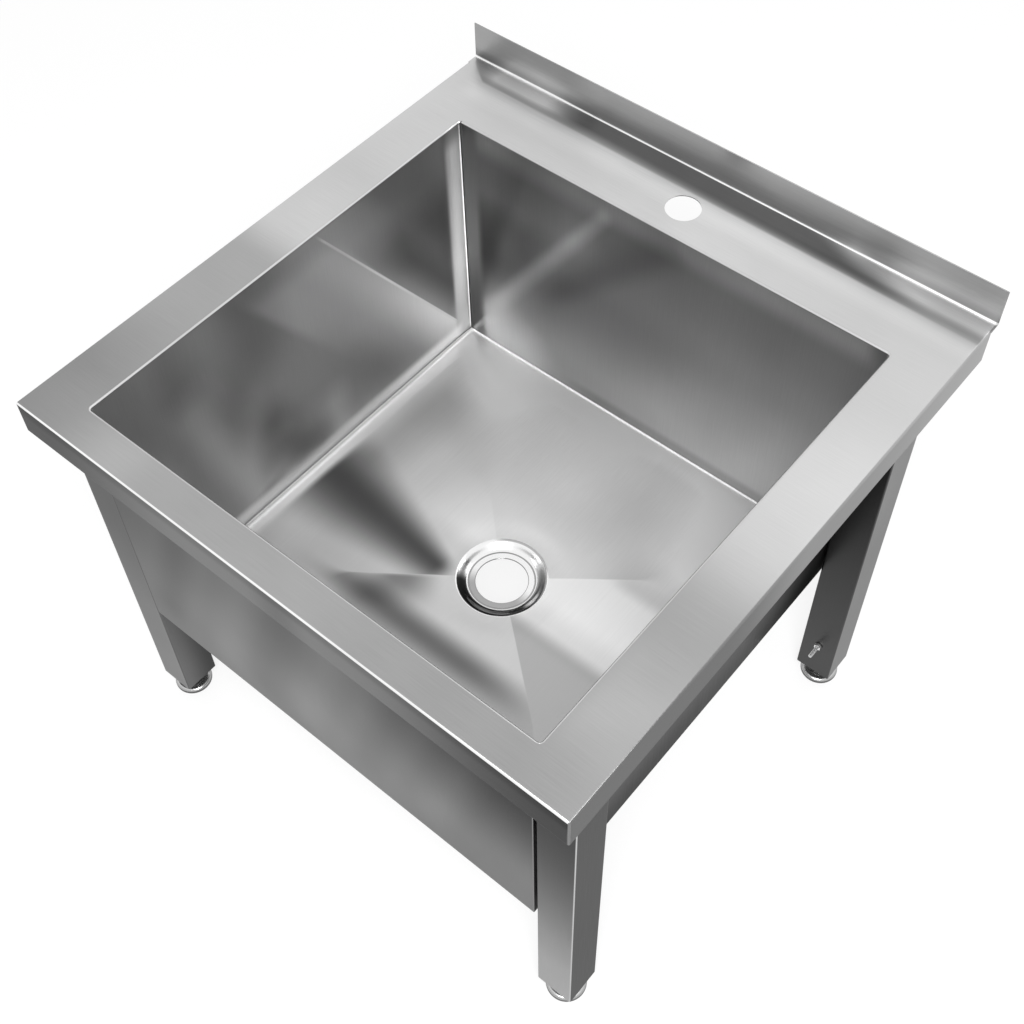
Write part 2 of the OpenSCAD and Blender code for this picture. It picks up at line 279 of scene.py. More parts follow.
def deckTone(maker, x, y, z):
    below = z.rise(499.6, 499.0)
    onUpstand = z.rise(501.0, 502.5)
    onBack = y.rise(299.4, 299.8)
    onFront = y.rise(-299.0, -299.8) * below
    onRight = x.rise(299.0, 299.8) * below
    # Painted reflections on the aprons: the front one lighter past its left end, darker towards the right and
    # at its top; the right one lighter towards the back
    front = deckLook["front"] + x.rise(-300.0, -90.0) * 0.2 - bump(x, 10.0, 40.0) * 0.06
    front = front - x.rise(80.0, 290.0) * 0.25 - z.rise(484.0, 494.0) * 0.06
    right = deckLook["right"] + y.rise(-110.0, 10.0) * 0.18 + y.rise(60.0, 290.0) * 0.12
    hidden = shown(deckLook["hidden"], deckLook["hiddenLight"], slantGraze)
    tone = over(deckTopTone(flatPlace(maker, x, y), x, y), upstandTone(x, z), onUpstand)
    # A painted highlight along the upstand's fold
    upstandFold = y.rise(297.4, 298.2) * z.rise(502.1, 501.3) * y.rise(299.8, 299.4)
    tone = over(tone, deckLook["upstandFold"], upstandFold)
    tone = over(over(tone, hidden, onBack), hidden, below)
    tone = over(tone, shown(front, deckLook["frontLight"], slantGraze), onFront)
    tone = over(tone, shown(right, deckLook["rightLight"], slantGraze), onRight)
    # A painted highlight along the front fold
    frontFold = y.rise(-298.2, -298.8) * z.rise(498.1, 498.7)
    tone = over(tone, deckLook["frontFold"], frontFold)
    # A painted reflection along the right fold, lighter towards the back
    rightFold = x.rise(297.8, 298.5) * z.rise(497.6, 498.3) * z.rise(501.5, 500.8)
    tone = over(tone, y.rise(-250.0, 250.0) * 0.27 + deckLook["rightFold"], rightFold)
    # A painted reflection on the front right corner
    corner = x.rise(297.8, 298.5) * y.rise(-297.8, -298.5)
    return over(tone, deckLook["corner"], corner)


wallLook = {
    "left": 0.36, "leftLit": 0.5, "leftShade": 0.32,        # before, in and behind the light on the left wall
    # the bright line is a painted highlight
    "highlightLine": 0.74,
    # strip and foot are painted highlights, beside the back corner and along the bottom
    "strip": 0.72,                                          # beside the back corner
    "foot": 0.65,
    # back wall: backGlow is a painted highlight near its left corner; backCorners are painted reflections
    # beside the left and right corner
    "back": 0.39, "backGlow": 0.7, "backCorners": (0.38, 0.36),
    # outerRight is the bowl's outer right wall, with painted shade under the apron, darkest at the bottom
    "outerRight": 0.15, "outerLight": 1.04,
    "light": 1.03,
    "inner": 0.5, "outer": 0.26, "rim": 0.6,                # base colours
}


def leftWallTone(flat, y, z):
    # A painted bright line runs down to the back corner, with painted light before it and painted shade
    # behind it
    past = beside(flat, (8.0, 495.0), (205.0, 207.0))
    low = z.rise(440.0, 270.0)
    top = z.rise(370.0, 470.0)
    nearLine = past.rise(-50.0, 0.0)
    shaft = streak(flat, (-185.0, 450.0), (-105.0, 220.0), (50.0, 50.0), (45.0, 45.0), (60.0, 20.0))
    ahead = wallLook["left"] + shaft * 0.09 + bump(y, -5.0, 34.0) * z.rise(310.0, 260.0) * 0.06
    ahead = ahead + bump(y, -82.0, 32.0) * z.rise(320.0, 280.0) * 0.1
    ahead = ahead + bump(y, -55.0, 42.0) * z.rise(310.0, 255.0) * 0.08
    lit = wallLook["leftLit"] + nearLine * (low * 0.2 + 0.06) - low * past.rise(-30.0, -90.0) * 0.07
    lit = lit - z.rise(455.0, 490.0) * 0.06
    edge = past.rise(-96.0, -82.0) * (1 - low * 0.35) + low * past.rise(-130.0, -70.0) * 0.35
    behind = past.rise(top * -8 - 0.5, top * 8 + 1.5)
    line = past.rise(-3.0, -1.0) * past.rise(1.0, 0.0) * z.rise(499.0, 480.0)
    strip = y.rise(183.0, 190.0)
    foot = z.rise(229.0, 216.0)

    wall = over(ahead, lit, edge)
    wall = over(wall, wallLook["leftShade"] + past.rise(top * 34 + 34, 0.0) * 0.18, behind)
    wall = over(wall, wallLook["highlightLine"] - top * 0.12, line)
    # Painted highlights in the strip beside the back corner and along the bottom
    stripTone = wallLook["strip"] - z.rise(470.0, 495.0) * 0.2 - z.rise(290.0, 240.0) * 0.08
    wall = over(over(wall, stripTone, strip), wallLook["foot"], foot)

    light = edge * (nearLine * low * 0.15 + 0.12) + 0.65
    light = light - y.rise(-180.0, -215.0) * z.rise(300.0, 350.0) * 0.07
    light = light + bump(y, -85.0, 60.0) * z.rise(350.0, 430.0) * 0.12
    light = light - bump(y, -108.0, 32.0) * bump(z, 320.0, 80.0) * 0.13
    lightBehind = past.rise(60.0, 0.0) * (0.3 - top * 0.06) + z.rise(460.0, 400.0) * 0.07 + 0.5
    light = over(light, lightBehind, behind)
    light = over(light, z.rise(325.0, 270.0) * 0.09 + 0.8, strip)
    light = over(light, 0.87 - y.rise(20.0, 150.0) * 0.16 + y.rise(185.0, 200.0) * 0.2, foot)
    return shown(wall, light * wallLook["light"], slantGraze)


def backWallTone(flat, x, z):
    leftCorner, rightCorner = wallLook["backCorners"]
    besideLeft = x.rise(-219.0, -230.0)
    shade = streak(flat, (30.0, 495.0), (-150.0, 310.0), (30.0, 24.0), (40.0, 26.0), (20.0, 60.0))
    beam = streak(flat, (-55.0, 492.0), (-232.0, 232.0), (14.0, 22.0), (12.0, 16.0), (20.0, 5.0))
    wall = wallLook["back"] + z.rise(370.0, 245.0) * 0.17 + x.rise(0.0, 120.0) * bump(z, 340.0, 100.0) * 0.05
    wall = wall - x.rise(-90.0, -200.0) * z.rise(270.0, 340.0) * 0.07
    wall = wall + z.rise(462.0, 490.0) * 0.09 + x.rise(-60.0, -110.0) * z.rise(390.0, 430.0) * 0.05
    wall = wall - shade * 0.045 + beam * 0.085
    # A painted highlight near the left corner
    wall = over(wall, wallLook["backGlow"], glow(flat, (-188.0, 208.0), 10.0, 80.0))
    wall = over(wall, leftCorner, besideLeft)
    # Painted shade along the bottom, right of the middle
    wall = wall - z.rise(222.0, 210.0) * x.rise(-120.0, -60.0) * 0.07
    wall = over(wall, rightCorner, x.rise(218.0, 243.0) * z.rise(450.0, 495.0))

    light = 0.77 + z.rise(400.0, 260.0) * (x.rise(80.0, -120.0) * 0.17 + 0.11)
    light = light - x.rise(-140.0, -200.0) * z.rise(370.0, 430.0) * 0.12
    light = light - bump(x, -192.0, 36.0) * bump(z, 362.0, 60.0) * 0.12
    light = over(light, z.rise(330.0, 230.0) * 0.18 + 0.64, besideLeft)
    return shown(wall, light * wallLook["light"], slantGraze)


def wallTone(maker, x, y, z):
    # Painted shade on the outer right wall under the apron, darkest at the bottom
    outerRight = wallLook["outerRight"] + z.rise(194.0, 262.0) * 0.2 + z.rise(262.0, 440.0) * 0.14
    outside = over(wallLook["outer"], shown(outerRight, wallLook["outerLight"]), x.rise(244.0, 245.0))
    onLeft = x.rise(-243.0, -244.5)
    onBack = y.rise(209.0, 210.2)
    insideX = x.rise(245.8, 245.4) * x.rise(-245.8, -245.4)
    insideY = y.rise(211.2, 210.8) * y.rise(-265.2, -264.8)
    tone = over(wallLook["inner"], leftWallTone(flatPlace(maker, y, z), y, z), onLeft)
    tone = over(tone, backWallTone(flatPlace(maker, x, z), x, z), onBack)
    tone = over(outside, tone, insideX * insideY)
    return over(tone, wallLook["rim"], z.rise(498.7, 499.1))


def wallRelief(x, y, z):
    # The left wall turns away from the corner behind it
    return y.rise(180.0, 218.0) * x.rise(-243.0, -244.5) * 10.0


drainSpot = (0.0, -27.0)

# Each fold's direction, in degrees from +X, and how far from the drain it stays sharp
floorFolds = {
    "backRight": (37.3, 150.0),
    "backLeft": (136.5, 120.0),
    "frontLeft": (217.3, 165.0),
    "frontRight": (320.0, 185.0),
}

floorLook = {
    # Painted reflections: each face between the folds has its own tone
    "back": 0.765, "left": 0.75, "front": 0.78, "right": 0.9,      # the four faces between the folds
    # backCorner is a painted highlight in the back left corner; edge is a painted highlight where the floor
    # turns up at the left, edgeTop its darker top
    "backCorner": 0.92,
    "edge": 0.85, "edgeTop": 0.5,                                  # where the floor turns up at the left
    "light": 0.77,
}


def leftOf(flat, angle, reach, away):
    # 1 to the left of a fold that runs out from the drain; the fold softens past its reach
    ray = Vector((math.cos(math.radians(angle)), math.sin(math.radians(angle))))
    start = Vector(drainSpot)
    soft = away.rise(reach - 15.0, reach + 50.0) * 34.0 + 0.9
    return beside(flat, start, start + ray).rise(soft * -1, soft)


def floorTone(maker, x, y, z):
    flat = flatPlace(maker, x, y)
    away = distance(flat, drainSpot)
    near = away.rise(150.0, 60.0)
    past = {name: leftOf(flat, angle, reach, away) for name, (angle, reach) in floorFolds.items()}

    # Painted reflections and shade on each face between the folds
    back = floorLook["back"] + near * 0.04 - x.rise(60.0, 110.0) * 0.04
    back = over(back, floorLook["backCorner"], glow(flat, (-245.0, 215.0), 20.0, 165.0))
    back = back + x.rise(115.0, 145.0) * y.rise(170.0, 200.0) * 0.08
    back = back + y.rise(178.0, 196.0) * (x.rise(-40.0, -120.0) * 0.08 + 0.03)

    # Painted shade on the left face: a faint streak, and a dark shadow streak that runs to the drain
    faintShadow = streak(flat, (-200.0, 150.0), (-206.0, -20.0), (60.0, 50.0), (26.0, 26.0), (40.0, 30.0))
    shadowStreak = streak(flat, (-245.0, -36.0), (-38.0, -60.0), (76.0, 16.0), (92.0, 26.0), (22.0, 24.0))
    left = floorLook["left"] - y.rise(40.0, 100.0) * 0.05 + near * y.rise(-30.0, 0.0) * 0.08
    left = left - faintShadow * 0.08 - shadowStreak * 0.43

    shadow = streak(flat, (-40.0, -64.0), (-122.0, -124.0), (50.0, 38.0), (8.0, 8.0), (45.0, 50.0))
    front = floorLook["front"] - bump(y, -128.0, 26.0) * x.rise(160.0, 30.0) * 0.27
    front = front - y.rise(-100.0, -150.0) * 0.12 + x.rise(-90.0, -140.0) * 0.12 - shadow * 0.26

    right = floorLook["right"] - y.rise(-44.0, -64.0) * 0.22 - bump(y, -44.0, 30.0) * 0.06
    right = right - x.rise(70.0, 110.0) * y.rise(28.0, 48.0) * 0.1

    tone = over(back, left, past["backLeft"] * (1 - past["frontLeft"]))
    tone = over(tone, right, past["frontRight"] * (1 - past["backRight"]))
    tone = over(tone, front, past["frontLeft"] * (1 - past["frontRight"]))

    # A painted highlight where the floor turns up at the left, darker at its top
    turned = x.rise(-239.0, -241.0)
    edge = floorLook["edge"] - bump(y, -25.0, 60.0) * 0.03 - bump(y, 85.0, 50.0) * 0.02
    edge = edge + y.rise(100.0, 180.0) * 0.14 - bump(z, 201.4, 1.8) * turned * 0.22
    edge = over(edge, floorLook["edgeTop"], z.rise(203.2, 204.4) * turned)
    tone = over(tone, edge, x.rise(-225.0, -236.0))

    light = (x - y).rise(-400.0, 260.0) * 0.18 + floorLook["light"]
    light = light - bump(x, -10.0, 90.0) * y.rise(60.0, 110.0) * 0.05
    light = light - x.rise(50.0, 140.0) * y.rise(40.0, 100.0) * 0.17
    return shown(tone, light)


panelLook = {
    "face": 0.47, "light": 0.885,
    # the edges beside the legs carry painted shade
    "leftEdge": 0.1, "rightEdge": 0.3,     # base colours
    # Where each leaning painted reflection crosses, and how much it lightens
    "leaningReflections": ((-190, -0.04), (-110, 0.03), (-60, -0.03), (-5, 0.03), (70, -0.03), (150, 0.03)),
}


def panelTone(maker, x, y, z):
    flat = flatPlace(maker, x, z)
    # Painted reflections, lighter low down and darker at the left, with painted shade high on the right under
    # the apron
    face = panelLook["face"] + z.rise(400.0, 250.0) * 0.08 - x.rise(-120.0, -240.0) * 0.04
    face = face - x.rise(50.0, 200.0) * z.rise(230.0, 420.0) * 0.16
    face = face - x.rise(40.0, 200.0) * z.rise(400.0, 260.0) * 0.035
    for spot, strength in panelLook["leaningReflections"]:
        reflectionStreak = streak(flat, (spot + 60, 480), (spot - 40, 180), (34, 34), (34, 34), (30, 60))
        face = face + reflectionStreak * strength
    # Painted shade on the edges beside the legs
    tone = over(shown(face, panelLook["light"], slantGraze), panelLook["leftEdge"], x.rise(-245.8, -246.2))
    return over(tone, panelLook["rightEdge"], x.rise(243.0, 243.4))


legLight = {
    "front": 0.97, "frontFall": 0.08,      # at the top, and how much less there is at the foot
    "fallStart": 60.0,                     # how far below the top that starts
    "right": 1.04,
    "hidden": 0.2,                         # base colour of the faces that don't show
}

# Each leg's own copy of the material, with its own painted light and shade; front and right face at the top
# and at the bottom; how much painted shade the right one gains towards the back; the painted reflection on
# the fold
legLooks = {
    "leg_front_left": ("satinLegSteelFrontLeft", (0.45, 0.56), (0.3, 0.48), 0.16, 0.14),
    "leg_front_right": ("satinLegSteelFrontRight", (0.31, 0.68), (0.41, 0.37), 0.0, 0.7),
    "leg_back_left": ("satinLegSteelBackLeft", (0.3, 0.4), (0.42, 0.42), 0.0, 0.1),
    "leg_back_right": ("satinLegSteelBackRight", (0.22, 0.31), (0.66, 0.63), 0.0, 0.1),
}


def legTone(node, front, right, behind, fold):
    # behind is how much painted shade the right face gains towards the back.
    # fold is the base colour of the painted reflection on the edge between the front and the right face.
    low, high = (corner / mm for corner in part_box(node))

    def tone(maker, x, y, z):
        down = z.rise(high.z - legLight["fallStart"], low.z)
        frontLook = front[0] + down * (front[1] - front[0])
        rightLook = right[0] + down * (right[1] - right[0]) - y.rise(low.y, high.y) * behind
        frontFace = shown(frontLook, legLight["front"] - down * legLight["frontFall"])
        face = over(legLight["hidden"], frontFace, y.rise(low.y + 0.8, low.y + 0.2))
        face = over(face, shown(rightLook, legLight["right"]), x.rise(high.x - 0.8, high.x - 0.2))
        edge = y.rise(low.y + 1.4, low.y + 0.7) * x.rise(high.x - 1.4, high.x - 0.7)
        return over(face, fold, edge)
    return tone


drainLook = {              # base colours
    "pale": 0.9, "dark": 0.1,
    "shoulder": 0.45, "seat": 0.4, "line": 0.3, "hole": 0.3,
}


def drainTone(maker, x, y, z):
    # Painted reflections of the room in the recess: dark towards the front left, bright at the back with a
    # grey shoulder
    u, v = x - drainSpot[0], y - drainSpot[1]
    away = (u * u + v * v) ** 0.5
    frontLeft = (u * 0.19 - v * 0.98) / away
    dark = frontLeft.rise(0.22, 0.5) * away.rise(35.5, 37.5) * away.rise(46.8, 45.5)
    tone = over(drainLook["pale"], drainLook["dark"], dark)
    tone = over(tone, drainLook["shoulder"], (v / away).rise(0.6, 0.85) * away.rise(44.6, 45.6))
    tone = over(tone, drainLook["seat"], away.rise(34.5, 33.0) * frontLeft.rise(-0.1, 0.6))
    tone = over(tone, drainLook["line"], bump(away, 34.2, 1.3))
    return over(tone, drainLook["hole"], away.rise(27.8, 27.4))


footLook = {"edge": 0.42, "top": 0.55, "under": 0.12}      # base colours


def footTone(maker, x, y, z):
    # Painted reflections on the disc: a lighter top, and painted shade on the lower part of its rounded edge
    tone = over(footLook["edge"], footLook["top"], z.rise(4.8, 5.2))
    return over(tone, footLook["under"], z.rise(3.9, 3.1))


# The nut's tone is a painted highlight, the washer's a painted shade
studLook = {"stud": 0.6, "nut": 0.85, "washer": 0.1}       # base colours


def studTone(maker, x, y, z):
    # A pale nut with a painted highlight, between a grey stud and a washer darkened with painted shade
    nutFront, washerFront = (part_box(node)[0].y / mm for node in ("bonding_nut", "bonding_washer"))
    tone = over(studLook["stud"], studLook["nut"], y.rise(nutFront - 0.1, nutFront + 0.1))
    return over(tone, studLook["washer"], y.rise(washerFront - 0.3, washerFront - 0.05))


print("materials")
deckSteel = steel("satinDeckSteel", deckTone, 0, slant=0.7)
wallSteel = steel("satinWallSteel", wallTone, 2, wallRelief, slant=0.6)
floorSteel = steel("satinFloorSteel", floorTone, 1, roughness=0.5, cloud=0.1, grain=0.12)
panelSteel = steel("satinPanelSteel", panelTone, 2, slant=0.5)
legSteels = {}
# Each leg gets its own copy of the steel, with its own painted light and shade
for node, (name, *looks) in legLooks.items():
    legSteels[node] = steel(name, legTone(node, *looks), 2, slant=0.5)
channelSteel = steel("millChannelSteel", plainTone(0.4), 1)
polishedSteel = steel("mirrorDrainSteel", drainTone, 0,
                      roughness=0.15, cloud=0.03, grain=0.03, wave=0.00005, brush=0.000001)
footSteel = steel("turnedFootSteel", footTone, 0, roughness=0.28, cloud=0.05, grain=0.03, wave=0.0)
screwSteel = steel("turnedScrewSteel", plainTone(0.62), 2, roughness=0.28, cloud=0.1, grain=0.1, wave=0.0)
studSteel = steel("platedStudSteel", studTone, 1, roughness=0.4, cloud=0.1, grain=0.1, wave=0.0)

plugLook = {
    "shade": 0.014, "roughness": 0.42,
    "shadeSpeckle": 0.012, "roughSpeckle": 0.2, "relief": 0.00002,     # how much the speckle changes each
    "speckles": 900.0,                                                 # to a metre
}


def plugPlastic():
    material, shader, maker = newMaterial("mouldedPlugPlastic")
    point = maker.node("ShaderNodeTexCoord", {}, {}, "Object")
    speckle = point.noise([plugLook["speckles"]] * 3, 2.0)
    (speckle * plugLook["shadeSpeckle"] + plugLook["shade"]).feed(shader.inputs["Base Color"])
    (speckle * plugLook["roughSpeckle"] + plugLook["roughness"]).feed(shader.inputs["Roughness"])
    speckle.emboss(plugLook["relief"]).feed(shader.inputs["Normal"])
    return material


blackPlastic = plugPlastic()


# Pieces

merging = 0.001 * mm      # points that lie closer together become one
finish = {
    "sharp": 30,                              # edges above this angle stay sharp, in degrees
    "edge": 0.15 * mm, "edgeSegments": 2,     # rounding of cut edges
    "edgeFrom": 40,                           # the angle from which an edge is rounded
    "merge": 0.002 * mm, "flat": 0.3,         # for copies of the solids' loose triangles
}


def place(name, shape, material, body, node, sharp=finish["sharp"], rounded=False):
    mesh = bpy.data.meshes.new(name)
    shape.to_mesh(mesh)
    shape.free()
    mesh.materials.append(material)
    for face in mesh.polygons:
        face.use_smooth = True
    mesh.set_sharp_from_angle(angle=math.radians(sharp))
    piece = bpy.data.objects.new(name, mesh)
    bpy.context.scene.collection.objects.link(piece)
    if rounded:
        bevel = piece.modifiers.new("edge", "BEVEL")
        bevel.width = finish["edge"]
        bevel.segments = finish["edgeSegments"]
        bevel.limit_method = "ANGLE"
        bevel.angle_limit = math.radians(finish["edgeFrom"])
        bevel.harden_normals = True
    weighted = piece.modifiers.new("flatNormals", "WEIGHTED_NORMAL")
    weighted.keep_sharp = True
    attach(piece, body)
    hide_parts(node)


def copyOf(node):
    shape = bmesh.new()
    shape.from_mesh(nodes[node].data)
    bmesh.ops.remove_doubles(shape, verts=shape.verts, dist=finish["merge"])
    bmesh.ops.dissolve_limit(shape, angle_limit=math.radians(finish["flat"]),
                             verts=shape.verts, edges=shape.edges)
    return shape


def facedOut(shape):
    # Turns a closed shape's faces outwards; recalculating alone can leave a thin sheet inside out
    bmesh.ops.recalc_face_normals(shape, faces=shape.faces)
    if shape.calc_volume(signed=True) < 0:
        bmesh.ops.reverse_faces(shape, faces=shape.faces)
    return shape


def swept(count, rings):
    # Draws a loop of count points through the rings and back to the first; a ring places point i
    shape = bmesh.new()
    number = shape.verts.layers.int.new("number")
    points = bmesh.ops.create_circle(shape, segments=count, radius=1.0)["verts"]
    for i, point in enumerate(points):
        point[number] = i
    edges = shape.edges[:]
    for i, ring in enumerate(rings + rings[:1]):
        if i:
            made = bmesh.ops.extrude_edge_only(shape, edges=edges)["geom"]
            points = [item for item in made if isinstance(item, bmesh.types.BMVert)]
            edges = [item for item in made if isinstance(item, bmesh.types.BMEdge)]
        for point in points:
            point.co = ring(point[number])
    bmesh.ops.remove_doubles(shape, verts=shape.verts, dist=merging)
    bmesh.ops.dissolve_degenerate(shape, dist=merging, edges=shape.edges)
    return facedOut(shape)


skirt = {"foldRadius": 0.8 * mm, "foldSegments": 4, "tolerance": 0.01 * mm}


def panelSheet():
    # The solid with the fold down its right edge rounded
    low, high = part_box("front_panel")
    shape = copyOf("front_panel")

    def onFold(spot):
        return spot.x > high.x - skirt["tolerance"] and spot.y < low.y + skirt["tolerance"]

    chosen = [edge for edge in shape.edges if all(onFold(vertex.co) for vertex in edge.verts)]
    if chosen:
        bmesh.ops.bevel(shape, geom=chosen, offset=skirt["foldRadius"], segments=skirt["foldSegments"],
                        profile=0.5, affect="EDGES", material=-1, clamp_overlap=True)
    return shape


sheets = {
    "deck": ("sinkDeck", deckSteel, "deck_steel"),
    "bowl_walls": ("bowlSides", wallSteel, "wall_steel"),
    "front_panel": ("frontSkirt", panelSteel, "panel_steel"),
    "leg_front_left": ("legFrontLeft", legSteels["leg_front_left"], "leg_steel"),
    "leg_front_right": ("legFrontRight", legSteels["leg_front_right"], "leg_steel"),
    "leg_back_left": ("legBackLeft", legSteels["leg_back_left"], "leg_steel"),
    "leg_back_right": ("legBackRight", legSteels["leg_back_right"], "leg_steel"),
    "side_channel_left": ("channelLeft", channelSteel, "channel_steel"),
    "side_channel_right": ("channelRight", channelSteel, "channel_steel"),
}
for node, (name, material, slot) in sheets.items():
    shape = panelSheet() if node == "front_panel" else copyOf(node)
    place(name, shape, material, "frame", node, rounded=True)
print("folded sheets and legs")


# The bowl's floor

bowlLow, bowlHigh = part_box("bowl_floor")
recessLow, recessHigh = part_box("drain_recess")
bowlCentre = (bowlLow + bowlHigh) / 2
floorShape = {
    "spokes": 160,
    "rings": 34,
    "foldRise": 0.01466,                      # how steeply the folds climb
    "crisp": (130 * mm, 195 * mm),            # the folds soften from the first radius to the second
    "crispBlend": 0.01 * mm, "softBlend": 0.5 * mm,
    "levelling": (70 * mm, 4 * mm),           # how far from a wall it starts to level out, and is level
    "holeLevelling": 1.5,                     # the same at the drain, in radii of the hole
    "sideRadius": 6 * mm,                     # where the floor turns up into the side walls
    "endRadius": 1.6 * mm,                    # where it is welded to the front and back walls
    "cornerRadius": 3 * mm,
    "insets": (8, 6.5, 5, 3.7, 2.6, 1.7, 1.0, 0.5, 0.15, 0.0),      # the last rings before the walls, in mm
    "sheet": 1 * mm,
    "wallGap": 0.05 * mm, "holeGap": 0.1 * mm,
    "sharp": 50,
}
floorHalf = Vector(((bowlHigh.x - bowlLow.x) / 2, (bowlHigh.y - bowlLow.y) / 2))
floorHalf -= Vector((floorShape["wallGap"], floorShape["wallGap"]))


def smooth(low, high, value):
    share = min(max((value - low) / (high - low), 0.0), 1.0)
    return share * share * (3 - 2 * share)


def facets():
    # The slope of each of the four faces, so that neighbours meet on the folds between them
    turns = [math.radians(angle) for angle, _ in floorFolds.values()]
    rays = [Vector((math.cos(turn), math.sin(turn))) for turn in turns]
    slopes = []
    for i, ray in enumerate(rays):
        after = rays[(i + 1) % len(rays)]
        slopes.append((ray + after) * (floorShape["foldRise"] / (1 + ray.dot(after))))
    return slopes


def floorHeight(spot, slopes, rim, hole, filled):
    # filled adds the turned-up sides and the weld fillets
    reach = spot.length
    soft = floorShape["crispBlend"] + floorShape["softBlend"] * smooth(*floorShape["crisp"], reach)
    heights = [slope.dot(spot) for slope in slopes]
    top = max(heights)
    height = top + soft * math.log(sum(math.exp((h - top) / soft) for h in heights))
    inset = min(floorHalf.x - abs(spot.x), floorHalf.y - abs(spot.y))
    height += (rim["edge"] - height) * smooth(*floorShape["levelling"], inset)
    height += (rim["hole"] - height) * smooth(hole * floorShape["holeLevelling"], hole, reach)
    if not filled:
        return height - floorShape["sheet"]
    for size, radius in ((floorHalf.x - abs(spot.x), floorShape["sideRadius"]),
                         (floorHalf.y - abs(spot.y), floorShape["endRadius"])):
        deep = max(radius - size, 0.0)
        height += radius - math.sqrt(max(radius * radius - deep * deep, 0.0))
    return height


def floorSpot(angle, share, inset, hole):
    # share runs from 0 at the drain to 1 at a rectangle set in from the walls, with rounded corners
    half = floorHalf
    ray = Vector((math.cos(angle), math.sin(angle)))
    far = min((half.x - inset) / max(abs(ray.x), 1e-6), (half.y - inset) / max(abs(ray.y), 1e-6))
    spot = ray * (hole + (far - hole) * share)
    turn = floorShape["cornerRadius"]
    out = Vector((abs(spot.x) - half.x + turn, abs(spot.y) - half.y + turn))
    if out.x > 0 and out.y > 0 and out.length > turn:
        out *= turn / out.length
        spot.x = math.copysign(half.x - turn + out.x, spot.x)
        spot.y = math.copysign(half.y - turn + out.y, spot.y)
    return spot


def spokeAngles():
    # Even spokes, with the nearest one turned onto each fold and each corner
    count = floorShape["spokes"]
    angles = [fullTurn * i / count for i in range(count)]
    corner = math.atan2(floorHalf.y, floorHalf.x)
    special = [math.radians(angle) for angle, _ in floorFolds.values()]
    special += [corner, math.pi - corner, math.pi + corner, fullTurn - corner]
    for angle in special:
        nearest = min(range(count), key=lambda i: abs(angles[i] - angle))
        angles[nearest] = angle
    return angles


def floorSheet():
    hole = (recessHigh.x - recessLow.x) / 2 + floorShape["holeGap"]
    base = bowlLow.z + floorShape["sheet"]
    rim = {"edge": bowlHigh.z - base, "hole": recessHigh.z - base}
    slopes = facets()
    angles = spokeAngles()

    def spotRing(share, inset, filled):
        def spotOf(i):
            spot = floorSpot(angles[i], share, inset, hole)
            height = floorHeight(spot, slopes, rim, hole, filled)
            return (bowlCentre.x + spot.x, bowlCentre.y + spot.y, base + height)
        return spotOf

    insets = floorShape["insets"]
    radii = [(i / floorShape["rings"], insets[0] * mm) for i in range(floorShape["rings"])]
    radii += [(1.0, inset * mm) for inset in insets]
    rings = [spotRing(share, inset, True) for share, inset in radii]
    rings += [spotRing(share, inset, False) for share, inset in reversed(radii)]
    return swept(floorShape["spokes"], rings)


place("bowlFloor", floorSheet(), floorSteel, "frame", "bowl_floor", sharp=floorShape["sharp"])
print("bowl floor")


# The drain recess

recess = {                            # in mm
    "seat": 34.9, "hole": 27.0,       # radii of the flat seat and of the hole in it
    "shoulderSteps": 24,
    "groove": (33.4, 34.5, 0.3),      # inner and outer radius of the line in the seat, and its depth
    "grooveFlank": 0.2,
    "lip": 0.4, "lipSteps": 4,        # rounding of the hole's edge
    "sheet": 1.0,
    "around": 128,
    "sharp": 25,
}


def recessOutline():
    high = recessHigh.z / mm
    low = recessLow.z / mm + recess["sheet"]
    outer = (recessHigh.x - recessLow.x) / 2 / mm
    run, drop = outer - recess["seat"], high - low
    shares = [i / recess["shoulderSteps"] for i in range(recess["shoulderSteps"] + 1)]
    shoulder = [(outer - run * share, high - drop * smooth(0.0, 1.0, share)) for share in shares]
    inner, far, deep = recess["groove"]
    flank = recess["grooveFlank"]
    top = shoulder + [(far + flank, low), (far, low - deep), (inner, low - deep), (inner - flank, low)]
    lip = recess["lip"]
    for i in range(recess["lipSteps"] + 1):
        angle = quarterTurn * i / recess["lipSteps"]
        top.append((recess["hole"] + lip - lip * math.sin(angle), low - lip + lip * math.cos(angle)))
    bottom = [(recess["hole"], low - recess["sheet"]), (recess["seat"], low - recess["sheet"])]
    bottom += [(radius, height - recess["sheet"]) for radius, height in reversed(shoulder)]
    return top + bottom


def spun(outline, around):
    # Turns a closed outline of (radius, height) in mm round the Z axis
    shape = bmesh.new()
    points = [shape.verts.new((radius * mm, 0, height * mm)) for radius, height in outline]
    edges = [shape.edges.new(pair) for pair in zip(points, points[1:] + points[:1])]
    bmesh.ops.spin(shape, geom=points + edges, cent=(0, 0, 0), axis=(0, 0, 1), angle=fullTurn,
                   steps=around, use_merge=True)
    bmesh.ops.remove_doubles(shape, verts=shape.verts, dist=merging)
    return facedOut(shape)


def onAxisOf(node, shape):
    # Moves a shape drawn round the Z axis onto the node's own upright axis
    low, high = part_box(node)
    bmesh.ops.translate(shape, verts=shape.verts, vec=((low.x + high.x) / 2, (low.y + high.y) / 2, 0.0))
    return shape


place("drainRecess", onAxisOf("drain_recess", spun(recessOutline(), recess["around"])), polishedSteel,
      "frame", "drain_recess", sharp=recess["sharp"])
print("drain recess")


# Threads, nuts and feet

threadForm = {
    "depth": 0.6,        # of the pitch
    "profile": ((0, 0), (0, 0.12), (1, 0.44), (1, 0.56), (0, 0.88), (0, 1)),      # how far out, how far along
    "steps": 24,
}


